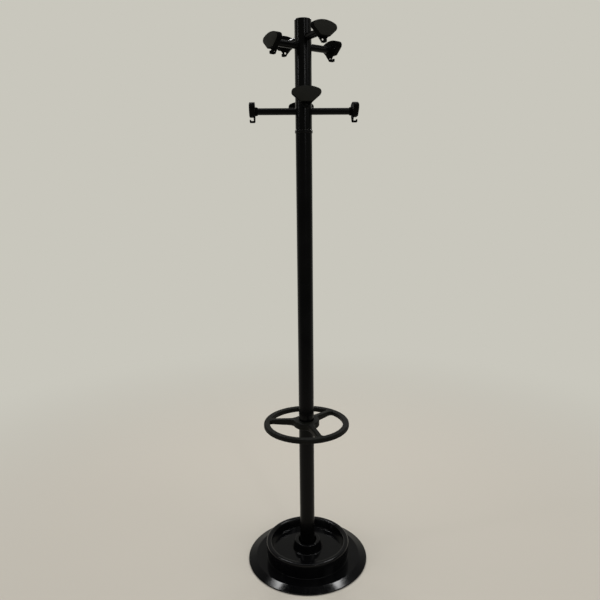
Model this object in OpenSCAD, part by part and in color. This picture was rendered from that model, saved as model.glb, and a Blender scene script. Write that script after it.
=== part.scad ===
// Standing coat rack. A weighted round base with a moulded drip tray carries a tube in three
// screwed sections. An umbrella ring is clamped between the two lower ones, and a turning head
// on top holds four crossed arms with a moulded hook on each end.
// Millimetres, +Z up, origin on the floor under the pole, front of the stand towards -Y.

/* [Base] */
// Outer diameter of the base
base_d = 410; // [390:1:440]
// Height of the flange's outer edge above the floor gap
edge_h = 3; // [2:0.5:4]
// Width of the flange's sloping outer part
slope_w = 27; // [22:1:35]
// Height of the flat part of the flange
flange_h = 11.5; // [10:0.5:14]
// Outer diameter of the drum that stands on the flange
drum_d = 285; // [280:1:310]
// Height of the drum's rim
drum_h = 65; // [58:1:80]
// How much narrower the drum is at its foot, on each side
drum_draft = 1.5; // [0:0.5:3]
// Width of the rolled rim
rim_w = 16.5; // [14:0.5:20]
// Height of the drip tray's floor
tray_floor_h = 36; // [34:0.5:42]
// Diameter of the drip tray's floor
tray_floor_d = 230; // [200:1:234]
// Width and height of the small step round the tray's floor
tray_step = 1.6; // [1:0.1:2.5]
// Diameter of the tray's boss at the tray's floor
boss_foot_d = 104; // [98:1:120]
// Diameter of the boss at its top
boss_top_d = 85; // [82:1:92]
// Diameter of the well in the boss, round the pole
well_d = 63; // [58:1:66]
// Wall thickness of the base cover
cover_wall = 3; // [2.5:0.1:3.5]
// Gap between the flange's edge and the floor
floor_gap = 2; // [1:0.5:2.5]

/* [Base inside] */
// Diameter of the cast ballast
ballast_d = 262; // [220:1:268]
// Thickness of the ballast's disc
ballast_t = 14; // [10:0.5:18]
// Diameter of the ballast's hub, under the well
ballast_hub_d = 68; // [60:1:84]
// Thickness of the steel base plate
plate_t = 2; // [1.5:0.1:3]
// Height of the dish pressed into the base plate
dish_h = 12; // [11:0.5:14]
// Diameter of the dish's flat top
dish_d = 50; // [46:1:54]
// Diameter of one foot pad
pad_d = 24; // [16:1:30]
// Height of the foot pads
pad_h = 3; // [3:0.5:5]
// Number of foot pads
pad_count = 6; // [3:1:10]
// Distance from the base plate's edge to the middle of a foot pad
pad_inset = 19; // [15:1:40]
// Diameter of the foot bolt
bolt_d = 10; // [8:1:12]
// Size of the foot bolt's hexagon across its flats
bolt_flats = 17; // [15:1:19]
// Height of the foot bolt's head
bolt_head_h = 6.4; // [5:0.2:7]
// How far the foot bolt reaches into the pole
bolt_reach = 20; // [15:1:24]
// Diameter of the foot bolt's washer
washer_d = 36; // [28:1:44]
// Thickness of the foot bolt's washer
washer_t = 2.5; // [2:0.1:3]

/* [Pole] */
// Diameter of the pole
pole_d = 50; // [44:1:52]
// Wall thickness of the pole's tubes
tube_wall = 1.5; // [1.2:0.1:2.5]
// Length of the lowest tube
lower_tube_len = 451; // [380:1:520]
// Length of the middle tube
middle_tube_len = 461; // [380:1:520]
// Length of the upper tube, below the turning head
upper_tube_len = 460; // [380:1:520]
// Bevel on the ends of the tubes
tube_bevel = 0.5; // [0.2:0.1:0.8]
// Length of the threaded inserts in the tubes' ends
insert_len = 26; // [25:1:40]
// Diameter of the studs that join the tubes
stud_d = 16; // [12:1:20]
// How far a stud reaches into the insert below
stud_reach = 20; // [12:1:24]

/* [Umbrella ring] */
// Outer diameter of the umbrella ring
ring_d = 284; // [260:1:320]
// Width of the ring's outer band
ring_band = 20; // [16:1:28]
// Height of the ring's outer band
ring_h = 16; // [12:0.5:20]
// Rounding of the band's edges
ring_edge_r = 4; // [2:0.5:5]
// Height of the ring's hub
ring_hub_h = 22; // [20:0.5:28]
// Diameter of the ring's hub
ring_hub_d = 86; // [70:1:96]
// Width of a spoke
spoke_w = 18; // [12:1:22]
// How far a spoke's outer end lies inside the band, at its top and at its bottom
spoke_inset = 1; // [0.8:0.1:1.5]
// Direction of the first spoke, as an angle turned from +X
spoke_angle = 50; // [0:1:119]
// Rounding between the hub and the spokes
hub_fillet_r = 24; // [8:1:28]
// Rounding between the spokes and the band
band_fillet_r = 7; // [4:1:16]

/* [Turning head] */
// Diameter of the collar that the head turns on
swivel_d = 54; // [53:1:60]
// Height of that collar
swivel_h = 9; // [6:1:14]
// Depth of the collar's plug in the upper tube
swivel_plug = 25; // [15:1:40]
// Diameter of the spigot that the head turns on
spigot_d = 32; // [26:1:36]
// Height of that spigot
spigot_h = 28; // [20:1:30]
// Diameter of the screw that holds the head down
swivel_screw_d = 8; // [6:1:10]
// Diameter of that screw's head
swivel_head_d = 15; // [13:1:18]
// Height of that screw's head
swivel_head_h = 4.5; // [3:0.5:5]
// Diameter of the washer that holds the head down
swivel_washer_d = 42; // [40:1:44]
// Thickness of that washer
swivel_washer_t = 2.5; // [2:0.1:3]
// Length of the head's tube
head_len = 307; // [280:1:360]
// Height of the cap's visible rim
cap_h = 4; // [2:0.5:8]
// Depth of the cap's plug in the head's tube
cap_plug = 14; // [8:1:25]
// Wall thickness of the cap's plug
cap_wall = 2; // [1.5:0.1:3]

/* [Arms] */
// Diameter of the arms
arm_d = 20; // [18:1:21]
// Wall thickness of the arms
arm_wall = 1.5; // [1:0.1:2.5]
// Height of the lowest arm's axis above the collar
lower_arm_rise = 54.5; // [52:0.5:70]
// Depth of the highest arm's axis below the top of the head's tube
upper_arm_drop = 47; // [36:0.5:70]
// Height between the axes of two crossed arms
arm_pitch = 22.5; // [22:0.5:30]
// Distance from the pole's axis to the face of a lower hook
lower_reach = 163.5; // [130:0.5:180]
// Distance from the pole's axis to the face of an upper hook
upper_reach = 114.5; // [100:0.5:180]
// Direction of the lower arms, as an angle turned from +X
lower_arm_angle = 3; // [0:1:89]
// Direction of the upper arms, as an angle turned from +X
upper_arm_angle = 34; // [0:1:89]

/* [Hook] */
// Width of a hook's fan-shaped body
fan_w = 82; // [70:1:96]
// Height of the fan's top above the arm's axis
fan_top = 26.5; // [25:0.5:32]
// Depth of the fan's foot below the arm's axis
fan_foot = 15.7; // [14.5:0.1:18]
// Width of the fan's foot
fan_foot_w = 37; // [32:1:44]
// Thickness of the fan at its edge
fan_t = 16.5; // [13.5:0.5:18]
// How far the fan's face is crowned
fan_crown = 1; // [0.5:0.1:1.5]
// Height of the middle of the fan's rounded tips above the arm's axis
tip_rise = 9.8; // [7:0.1:11]
// Radius of those tips
tip_r = 10.3; // [7:0.1:11]
// Rounding of the fan's edge towards the face
face_edge_r = 2.6; // [1:0.1:2.8]
// Rounding of the fan's edge towards the pole
back_edge_r = 1; // [0.5:0.1:2]
// Outer diameter of the collar that holds the arm
socket_d = 25; // [24:0.5:28]
// Length of that collar, behind the fan
socket_len = 9; // [6:0.5:14]
// How far the arm reaches into the fan
socket_depth = 8; // [5:0.5:10]
// Thickness of the hook's stem
stem_t = 4.4; // [3.5:0.1:5.2]
// How far the stem stands proud of the fan's back
stem_proud = 1; // [0.2:0.1:1.5]
// Depth of the small hook's foot below the arm's axis
hook_drop = 32.3; // [30:0.1:38]
// Width of the small hook's tongue
tongue_w = 8.8; // [7:0.1:10]
// Thickness of the tongue
tongue_t = 5; // [4:0.1:6]
// Thickness of the lip at the tongue's end
lip_t = 3.2; // [2.5:0.1:4]
// How far the lip rises above the tongue
lip_rise = 3.7; // [2.5:0.1:5]
// Width of the window in the stem
window_w = 6.4; // [5:0.1:9]
// Height of the window above the tongue
window_h = 6; // [5:0.1:8.5]

/* [Fits] */
// Running clearance on the turning head's spigot, on the radius
run_gap = 0.05; // [0.02:0.01:0.1]
// End play of the turning head
end_play = 0.4; // [0.2:0.1:0.8]
// Clearance round studs and bolts, on the radius
stud_gap = 0.05; // [0.02:0.01:0.1]
// Clearance between pieces that only lie side by side
side_gap = 0.5; // [0.3:0.1:1]

/* [Hidden] */
$fn = 96;
ARC_STEPS = 5;
JOIN = 0.01; // overlap that joins two solids of one piece
SPOKES = 3;
FILLET_START = 6; // degrees of a fillet's end that are left out, so that it runs into its circle
base_r = base_d / 2;
slope_r = base_r - slope_w;
drum_r = drum_d / 2;
rim_in_r = drum_r - rim_w;
floor_r = tray_floor_d / 2;
well_r = well_d / 2;
pole_r = pole_d / 2;
bore_r = pole_r - tube_wall;
bolt_r = bolt_d / 2;
stud_r = stud_d / 2;
ring_r = ring_d / 2;
band_in_r = ring_r - ring_band;
ring_hub_r = ring_hub_d / 2;
arm_r = arm_d / 2;

// Heights of the stack, from the floor up
plate_z = pad_h;
ballast_z = plate_z + plate_t;
dish_z = ballast_z + dish_h;
well_floor_z = tray_floor_h - cover_wall - side_gap;
pole_z = well_floor_z + cover_wall;
ring_z = pole_z + lower_tube_len;
middle_z = ring_z + ring_hub_h;
upper_z = middle_z + middle_tube_len;
swivel_z = upper_z + upper_tube_len;
spigot_z = swivel_z + swivel_h;
spigot_top_z = spigot_z + spigot_h;
head_z = spigot_z + end_play;
cap_z = spigot_z + head_len;
lower_arm_z = spigot_z + lower_arm_rise;
upper_arm_z = cap_z - upper_arm_drop - arm_pitch;

// Heights on the cover
edge_z = floor_gap + edge_h;
slope_rate = (flange_h - edge_z) / (base_r - slope_r);
plate_lap = 9; // how far the base plate reaches under the slope
plate_r = slope_r + plate_lap;
rib_r = plate_r + side_gap;
rib_w = 2.5; // width of the rib round the base plate
edge_wall = 2.5; // wall thickness of the cover's outer edge

// Each arm: name, direction, height of its axis, reach of its hooks
ARMS = [["lower_side_arm", lower_arm_angle, lower_arm_z, lower_reach],
        ["lower_front_arm", lower_arm_angle + 90, lower_arm_z + arm_pitch, lower_reach],
        ["upper_left_arm", upper_arm_angle, upper_arm_z, upper_reach],
        ["upper_right_arm", upper_arm_angle + 90, upper_arm_z + arm_pitch, upper_reach]];

// Each hook: name, the arm that carries it, half turn that takes it to the arm's other end
HOOKS = [["lower_hook_right", 0, 0], ["lower_hook_left", 0, 180],
         ["lower_hook_rear", 1, 0], ["lower_hook_front", 1, 180],
         ["upper_hook_rear_right", 2, 0], ["upper_hook_front_left", 2, 180],
         ["upper_hook_rear_left", 3, 0], ["upper_hook_front_right", 3, 180]];

// ---- Outlines ----

// Points of an arc about c
function arc(c, r, a0, a1, steps = ARC_STEPS) =
    [for (i = [0:steps]) let (a = a0 + (a1 - a0) * i / steps) c + r * [cos(a), sin(a)]];

function unit(v) = v / norm(v);

// The shorter way round from angle a to angle b
function turn_to(a, b) = a + (b - a > 180 ? b - a - 360 : b - a < -180 ? b - a + 360 : b - a);

// An arc of radius r that rounds the corner at q between p and s
function corner(p, q, s, r) =
    let (u = unit(p - q), w = unit(s - q), half = acos(u * w) / 2,
         c = q + unit(u + w) * r / sin(half), from = q + u * r / tan(half) - c,
         to = q + w * r / tan(half) - c, a = atan2(from[1], from[0]))
    arc(c, r, a, turn_to(a, atan2(to[1], to[0])));

// A closed outline from [x, y, rounding] corners
function rounded(path) =
    [for (i = [0:len(path) - 1])
        let (n = len(path), q = path[i], p = path[(i + n - 1) % n], s = path[(i + 1) % n])
        each q[2] > 0 ? corner([p[0], p[1]], [q[0], q[1]], [s[0], s[1]], q[2])
                      : [[q[0], q[1]]]];

// Height of the sloping flange's top at radius r
function slope_z(r) = edge_z + (base_r - r) * slope_rate;

// A rectangle with rounded corners, from its lower left corner
module rounded_rect(w, h, r) {
    translate([r, 0]) square([w - 2 * r, h]);
    translate([0, r]) square([w, h - 2 * r]);
    for (x = [r, w - r], y = [r, h - r]) translate([x, y]) circle(r);
}

// A round bar between two heights, with an optional bore
module bar(r, z0, z1, bore = 0) {
    translate([0, 0, z0]) difference() {
        cylinder(r = r, h = z1 - z0);
        if (bore > 0) translate([0, 0, -1]) cylinder(r = bore, h = z1 - z0 + 2);
    }
}

// ---- Base ----

// One thin moulding: flange, drum, rolled rim, drip tray, boss and the well that the pole
// stands in, drawn as one closed section
module base_cover() {
    top = [[base_r, floor_gap, 0.8], [base_r, edge_z, 1.2], [slope_r, flange_h, 6],
           [drum_r - drum_draft, flange_h, 2.5], [drum_r, drum_h, 5],
           [rim_in_r, drum_h, 6], [floor_r + tray_step, tray_floor_h + tray_step, 0.5],
           [floor_r, tray_floor_h + tray_step, 0.5], [floor_r - tray_step / 2, tray_floor_h, 0.5],
           [boss_foot_d / 2, tray_floor_h, 2.5], [boss_top_d / 2, drum_h, 2.5],
           [well_r, drum_h, 2], [well_r, pole_z, 1], [bolt_r + stud_gap, pole_z, 0]];
    under = [[bolt_r + stud_gap, well_floor_z, 0], [well_r + cover_wall, well_floor_z, 0],
             [well_r + cover_wall, drum_h - cover_wall, 0],
             [boss_top_d / 2 - cover_wall, drum_h - cover_wall, 0.6],
             [boss_foot_d / 2 - cover_wall, tray_floor_h - cover_wall, 0],
             [floor_r + cover_wall / 2, tray_floor_h - cover_wall, 1.5],
             [rim_in_r + cover_wall, drum_h - cover_wall - 1, 1.5],
             [drum_r - cover_wall, drum_h - cover_wall - 1, 1.5],
             [drum_r - drum_draft - cover_wall, flange_h - cover_wall, 1],
             [rib_r, flange_h - cover_wall, 0], [rib_r, floor_gap + 0.6, 0],
             [rib_r + rib_w, floor_gap + 0.6, 0],
             [rib_r + rib_w, slope_z(rib_r + rib_w) - edge_wall, 0],
             [base_r - edge_wall, slope_z(base_r - edge_wall) - edge_wall, 0],
             [base_r - edge_wall, floor_gap, 0]];
    color("#16171a") rotate_extrude() polygon(rounded(concat(top, under)));
}

// Pressed steel disc that closes the base, with a dish that hides the bolt's head
module bottom_plate() {
    foot_r = dish_d / 2 + dish_h / 2;
    color("#2b2b2d") rotate_extrude() polygon([
        [bolt_r + stud_gap, dish_z], [dish_d / 2, dish_z], [foot_r, ballast_z],
        [plate_r, ballast_z], [plate_r, plate_z], [foot_r - plate_t / 2, plate_z],
        [dish_d / 2 - plate_t / 2, dish_z - plate_t], [bolt_r + stud_gap, dish_z - plate_t]]);
}

// Cast-iron weight with a hub that carries the well's floor and the pole
module ballast() {
    foot_r = dish_d / 2 + dish_h / 2;
    rim_r = ballast_d / 2;
    hub_r = ballast_hub_d / 2;
    disc_z = ballast_z + ballast_t;
    color("#3c3a38") rotate_extrude() polygon(rounded([
        [bolt_r + stud_gap, dish_z, 0], [dish_d / 2, dish_z, 0], [foot_r, ballast_z, 0],
        [rim_r, ballast_z, 1], [rim_r - 1, disc_z, 2], [hub_r + 2, disc_z, 4],
        [hub_r, well_floor_z, 0], [bolt_r + stud_gap, well_floor_z, 0]]));
}

module foot_pads() {
    color("#1b1b1b") for (i = [0:pad_count - 1])
        rotate(i * 360 / pad_count) translate([plate_r - pad_inset, 0, 0]) rotate_extrude()
            polygon(rounded([[0, 0, 0], [pad_d / 2 - 1, 0, 0.8], [pad_d / 2, pad_h, 0],
                             [0, pad_h, 0]]));
}

module foot_washer() {
    color("#8d9092") bar(washer_d / 2, dish_z - plate_t - washer_t, dish_z - plate_t,
                         bolt_r + stud_gap);
}

module foot_bolt() {
    head_z0 = dish_z - plate_t - washer_t - bolt_head_h;
    color("#8d9092") {
        translate([0, 0, head_z0]) cylinder(d = bolt_flats / cos(30), h = bolt_head_h, $fn = 6);
        bar(bolt_r, head_z0 + bolt_head_h - JOIN, pole_z + bolt_reach);
    }
}

// ---- Pole ----

// A tube with bevelled ends
module tube(z0, z1) {
    b = tube_bevel;
    rotate_extrude() polygon([[bore_r, z0], [pole_r - b, z0], [pole_r, z0 + b],
                              [pole_r, z1 - b], [pole_r - b, z1], [bore_r, z1]]);
}

// A threaded plug pressed into the end of a tube
module insert(z0, z1, thread_r) {
    color("#8d9092") bar(bore_r, z0, z1, thread_r + stud_gap);
}

// A plug with a stud that points down
module stud_insert(z0) {
    color("#8d9092") {
        bar(bore_r, z0, z0 + insert_len);
        bar(stud_r, z0 - stud_drop(z0), z0 + JOIN);
    }
}

// The ring's stud also passes through the ring's hub
function stud_drop(z0) = stud_reach + (z0 == middle_z ? ring_hub_h : 0);

module foot_insert() insert(pole_z, pole_z + insert_len, bolt_r);
module lower_tube() color("#111214") tube(pole_z, ring_z);
module ring_socket_insert() insert(ring_z - insert_len, ring_z, stud_r);
module ring_stud_insert() stud_insert(middle_z);
module middle_tube() color("#111214") tube(middle_z, upper_z);
module mid_socket_insert() insert(upper_z - insert_len, upper_z, stud_r);
module mid_stud_insert() stud_insert(upper_z);
module upper_tube() color("#111214") tube(upper_z, swivel_z);

// ---- Umbrella ring ----

// One side of a spoke in plan, from inside the hub to inside the band: a concave fillet off the
// hub, the straight side, and a concave fillet into the band
function spoke_side() =
    let (w = spoke_w / 2, hub_y = w + hub_fillet_r,
         hub_c = [sqrt(pow(ring_hub_r + hub_fillet_r, 2) - hub_y * hub_y), hub_y],
         band_y = w + band_fillet_r,
         band_c = [sqrt(pow(band_in_r - band_fillet_r, 2) - band_y * band_y), band_y],
         hub_a = 180 + atan2(hub_c[1], hub_c[0]), band_a = atan2(band_c[1], band_c[0]))
    concat([unit(hub_c) * (ring_hub_r - 1)],
           arc(hub_c, hub_fillet_r, hub_a + FILLET_START, 270, 8),
           arc(band_c, band_fillet_r, -90, band_a - FILLET_START, 8),
           [unit(band_c) * (band_in_r + ring_edge_r / 2)]);

module spoke_plan() {
    side = spoke_side();
    n = len(side);
    polygon(concat(side, [for (i = [n - 1:-1:0]) [side[i][0], -side[i][1]]]));
}

// What the hub and the spokes are cut from: flat over the hub, then falling towards the band
module spoke_envelope() {
    end_r = band_in_r + ring_edge_r;
    end_h = ring_h - 2 * spoke_inset;
    rotate_extrude() polygon([[0, 0], [end_r, 0], [end_r, end_h],
                              [ring_hub_r + ring_edge_r, ring_hub_h], [0, ring_hub_h]]);
}

module umbrella_ring() {
    color("#202122") difference() {
        union() {
            rotate_extrude() translate([band_in_r, ring_z - spoke_inset])
                rounded_rect(ring_band, ring_h, ring_edge_r);
            translate([0, 0, ring_z]) intersection() {
                spoke_envelope();
                translate([0, 0, -1]) linear_extrude(ring_hub_h + 2) union() {
                    circle(ring_hub_r);
                    for (i = [0:SPOKES - 1])
                        rotate(spoke_angle + i * 360 / SPOKES) spoke_plan();
                }
            }
        }
        bar(stud_r + stud_gap, ring_z - 1, middle_z + 1);
    }
}

// ---- Turning head ----

// Plastic bearing: a plug in the upper tube, the visible collar, and the head's spigot
module swivel_collar() {
    color("#0e0f10") difference() {
        rotate_extrude() polygon(rounded([
            [0, swivel_z - swivel_plug, 0], [bore_r, swivel_z - swivel_plug, 1],
            [bore_r, swivel_z, 0], [swivel_d / 2, swivel_z, 1.2],
            [swivel_d / 2, spigot_z, 1.2], [spigot_d / 2, spigot_z, 0],
            [spigot_d / 2, spigot_top_z, 0], [0, spigot_top_z, 0]]));
        bar(swivel_screw_d / 2, swivel_z, spigot_top_z + 1);
    }
}

module swivel_washer() {
    color("#8d9092") bar(swivel_washer_d / 2, spigot_top_z, spigot_top_z + swivel_washer_t,
                         swivel_screw_d / 2);
}

module swivel_screw() {
    head_foot_z = spigot_top_z + swivel_washer_t;
    color("#8d9092") {
        bar(swivel_screw_d / 2, swivel_z + 1, head_foot_z + JOIN);
        translate([0, 0, head_foot_z]) rotate_extrude() polygon(rounded([
            [0, 0, 0], [swivel_head_d / 2, 0, 0], [swivel_head_d / 2, swivel_head_h, 2],
            [0, swivel_head_h, 0]]));
    }
}

// Bush in the foot of the head's tube, held down by the washer with a little end play
module head_bush() {
    color("#c9c9c4") bar(bore_r, spigot_z, spigot_top_z - end_play, spigot_d / 2 + run_gap);
}

module head_tube() {
    color("#111214") difference() {
        tube(head_z, cap_z);
        for (a = ARMS) translate([0, 0, a[2]]) rotate([0, 90, a[1]])
            cylinder(r = arm_r, h = 4 * pole_r, center = true);
    }
}

module top_cap() {
    color("#0e0f10") rotate_extrude() polygon(rounded([
        [0, cap_z + 1, 0], [bore_r - cap_wall, cap_z + 1, 0],
        [bore_r - cap_wall, cap_z - cap_plug, 0], [bore_r, cap_z - cap_plug, 0.8],
        [bore_r, cap_z, 0], [pole_r, cap_z, 0.4], [pole_r, cap_z + cap_h, 1.5],
        [pole_r - 5, cap_z + cap_h, 0], [0, cap_z + cap_h, 0]]));
}

// A straight tube through the head, from one hook's socket to the other's
module arm(a) {
    half = a[3] - fan_crown - fan_t + socket_depth;
    color("#111214") translate([0, 0, a[2]]) rotate([0, 90, a[1]]) difference() {
        cylinder(r = arm_r, h = 2 * half, center = true);
        cylinder(r = arm_r - arm_wall, h = 2 * half + 2, center = true);
    }
}

// ---- Hook ----

// Half of the fan's outline, from the foot's corner round the tip to the top, moved inwards
// by inset. Three arcs that touch: the foot's corner, the tip, and the wide arc over the top.
function half_fan(inset) =
    let (foot_r = 3,
         foot_c = [fan_foot_w / 2 - foot_r, foot_r - fan_foot],
         tip_c = [fan_w / 2 - tip_r, tip_rise],
         span = tip_c - foot_c,
         side = atan2(span[1], span[0]) - acos((foot_r - tip_r) / norm(span)),
         free = fan_top - tip_r,
         top_y = (norm(tip_c) * norm(tip_c) - free * free) / (2 * (tip_rise - free)),
         lean = atan2(tip_rise - top_y, tip_c[0]))
    concat(arc(foot_c, foot_r - inset, -90, side, 2),
           arc(tip_c, tip_r - inset, side, lean, 8),
           [for (p = arc([0, top_y], fan_top - top_y - inset, lean, 90, 6)) if (p[0] > 1) p]);

// The whole outline, closed over the top by mirroring
function fan_outline(inset) =
    let (half = half_fan(inset), n = len(half))
    concat(half, [[0, fan_top - inset]], [for (i = [n - 1:-1:0]) [-half[i][0], half[i][1]]]);

// A slice of the fan at depth x, so thin that it only marks the outline
module fan_slice(x, inset, shrink = 1) {
    translate([x, 0, 0]) rotate([90, 0, 90])
        linear_extrude(JOIN) scale(shrink) polygon(fan_outline(inset));
}

// The fan: its outline swept in depth, rounded at both edges, with a crowned face
module fan_body() {
    hull() {
        fan_slice(0, back_edge_r);
        fan_slice(back_edge_r, 0);
        for (a = [0:30:90])
            fan_slice(fan_t - face_edge_r * (1 - sin(a)), face_edge_r * (1 - cos(a)));
        fan_slice(fan_t + fan_crown * 0.75, 0, 0.6);
        fan_slice(fan_t + fan_crown - JOIN, 0, 0.25);
    }
}

// The stem's front outline: it narrows from the fan's foot to the tongue
module stem_plan() {
    top_w = fan_foot_w - 3;
    foot_z = -hook_drop;
    difference() {
        polygon(rounded([[tongue_w / 2, foot_z, 1.5], [top_w / 2, -fan_foot, 0],
                         [top_w / 2 - 2, 0, 0], [2 - top_w / 2, 0, 0],
                         [-top_w / 2, -fan_foot, 0], [-tongue_w / 2, foot_z, 1.5]]));
        translate([-window_w / 2, foot_z + tongue_t])
            square([window_w, window_h - window_w / 2]);
        translate([0, foot_z + tongue_t + window_h - window_w / 2]) circle(window_w / 2);
    }
}

// The tongue and its lip, seen from the side
module tongue_side() {
    back = -stem_proud;
    face = fan_t - 0.4;
    floor_z = tongue_t - hook_drop;
    lip_z = floor_z + lip_rise;
    polygon(rounded([[back, -hook_drop, 3.5], [face, -hook_drop, 3], [face, lip_z, 1.4],
                     [face - lip_t, lip_z, 1.2], [face - lip_t, floor_z, 1.8],
                     [back, floor_z, 0]]));
}

// A moulded hook in its own frame: the arm along X, the fan's back at x = 0
module hook_body() {
    difference() {
        union() {
            fan_body();
            rotate([0, 90, 0]) translate([0, 0, -socket_len]) rotate_extrude() polygon(rounded([
                [0, 0, 0], [socket_d / 2 - 1, 0, 1.5], [socket_d / 2, socket_len / 2, 0],
                [socket_d / 2 + 0.5, socket_len + 1, 0], [0, socket_len + 1, 0]]));
            translate([-stem_proud, 0, 0]) rotate([90, 0, 90])
                linear_extrude(stem_t) stem_plan();
            translate([0, tongue_w / 2, 0]) rotate([90, 0, 0])
                linear_extrude(tongue_w) tongue_side();
        }
        translate([-socket_len - 1, 0, 0]) rotate([0, 90, 0])
            cylinder(r = arm_r, h = socket_len + 1 + socket_depth);
    }
}

module hook(h) {
    a = ARMS[h[1]];
    color("#222322") translate([0, 0, a[2]]) rotate(a[1] + h[2])
        translate([a[3] - fan_crown - fan_t, 0, 0]) hook_body();
}

base_cover();
bottom_plate();
ballast();
foot_pads();
foot_bolt();
foot_washer();
foot_insert();
lower_tube();
ring_socket_insert();
umbrella_ring();
ring_stud_insert();
middle_tube();
mid_socket_insert();
mid_stud_insert();
upper_tube();
swivel_collar();
swivel_washer();
swivel_screw();
head_bush();
head_tube();
top_cap();
for (a = ARMS) arm(a);
for (h = HOOKS) hook(h);
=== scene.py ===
"""Looks of a standing coat rack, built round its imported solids.

The stand is a black ABS base with a drip tray, a powder-coated tube pole with an umbrella ring
of moulded nylon, and a turning head whose crossed arms end in moulded nylon hooks. Sizes are in
millimetres and become metres when a mesh is made. +Z is up and -Y is the front.
"""

from __future__ import annotations

import logging
import math
from collections.abc import Sequence
from dataclasses import dataclass, field
from enum import Enum

import bmesh
import bpy
import numpy as np
from mathutils import Matrix, Vector
from mathutils.geometry import delaunay_2d_cdt

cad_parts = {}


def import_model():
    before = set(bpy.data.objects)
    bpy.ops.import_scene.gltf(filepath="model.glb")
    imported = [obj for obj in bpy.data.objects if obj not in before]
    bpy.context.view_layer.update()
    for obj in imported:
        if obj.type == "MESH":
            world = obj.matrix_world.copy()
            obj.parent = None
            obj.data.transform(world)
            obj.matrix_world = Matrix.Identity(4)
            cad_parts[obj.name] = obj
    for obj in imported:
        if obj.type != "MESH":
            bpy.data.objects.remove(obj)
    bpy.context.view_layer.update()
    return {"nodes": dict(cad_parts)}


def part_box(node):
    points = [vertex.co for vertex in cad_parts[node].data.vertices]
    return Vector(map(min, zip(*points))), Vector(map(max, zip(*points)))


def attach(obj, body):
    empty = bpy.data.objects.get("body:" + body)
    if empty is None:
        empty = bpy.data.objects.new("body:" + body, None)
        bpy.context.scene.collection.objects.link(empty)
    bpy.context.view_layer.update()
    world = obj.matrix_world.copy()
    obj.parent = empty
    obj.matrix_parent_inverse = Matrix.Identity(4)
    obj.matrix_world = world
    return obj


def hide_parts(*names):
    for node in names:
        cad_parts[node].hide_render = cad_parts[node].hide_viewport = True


LOG = logging.getLogger("coat_rack")
MM = 0.001
SHARP_ANGLE = math.radians(38)
GUARD = 0.35  # mm between a rounding and the row that keeps the next flat's shading flat
LONG = 8 * GUARD  # mm from which a straight side has room for two such rows
SAME = 1e-6  # mm within which two points of an outline are one
WELD = 2e-6  # m within which two points of a mesh are one
SLIVER = 1e-7  # m below which an edge or a face is taken out
FILL_INSIDE = 1  # the triangulation's mode that leaves out what lies outside the outlines
Array = np.ndarray
Triple = tuple[float, float, float]
Corner = Triple  # x and y of an outline's corner, and its rounding's radius
Object = bpy.types.Object
Tree = bpy.types.NodeTree
Source = bpy.types.Node | bpy.types.NodeSocket


class Body(Enum):
    """The two bodies of the stand, which the swivel joins."""

    STAND = "stand"
    HEAD = "head"


class Axis(Enum):
    """Which way the height of a plate or a revolved shape points in the stand."""

    X = (2, 0, 1)
    Y = (0, 2, 1)
    Z = (0, 1, 2)


# ---- Surfaces ----


@dataclass(frozen=True)
class Surface:
    """A surface as arrays: points in millimetres, and blocks of faces with 3 or 4 corners."""

    points: Array
    faces: tuple[Array, ...]

    def moved(self, matrix: Array, shift: Sequence[float]) -> Surface:
        """The surface with each point p at matrix p + shift."""
        return Surface(self.points @ np.asarray(matrix).T + np.asarray(shift), self.faces)


def joined(surfaces: Sequence[Surface]) -> Surface:
    """Several surfaces as one, with the face numbers moved up to match.

    Args:
        surfaces: The surfaces.

    Returns:
        The one surface.
    """
    starts = np.cumsum([0] + [len(s.points) for s in surfaces[:-1]])
    faces = tuple(block + start for s, start in zip(surfaces, starts) for block in s.faces)
    return Surface(np.vstack([s.points for s in surfaces]), faces)


def turn_z(degrees: float) -> Array:
    """The matrix of a turn about +Z."""
    c, s = math.cos(math.radians(degrees)), math.sin(math.radians(degrees))
    return np.array([[c, -s, 0.0], [s, c, 0.0], [0.0, 0.0, 1.0]])


def unit(vectors: Array) -> Array:
    """Vectors brought to length 1."""
    return vectors / np.linalg.norm(vectors, axis=-1, keepdims=True)


def span(node: str) -> tuple[float, float]:
    """How high a CAD node's foot and top stand, in millimetres."""
    low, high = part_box(node)
    return low.z / MM, high.z / MM


def arc(centre: Sequence[float], radius: float, start: float, stop: float, steps: int) -> Array:
    """Points of an arc: centre + radius (cos a, sin a), with a even from start to stop.

    Args:
        centre: The arc's centre.
        radius: Its radius.
        start: First angle in degrees.
        stop: Last angle in degrees.
        steps: How many equal steps lie between them.

    Returns:
        The points, as (steps + 1, 2).
    """
    a = np.radians(np.linspace(start, stop, steps + 1))
    return np.asarray(centre) + radius * np.stack([np.cos(a), np.sin(a)], axis=1)


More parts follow.
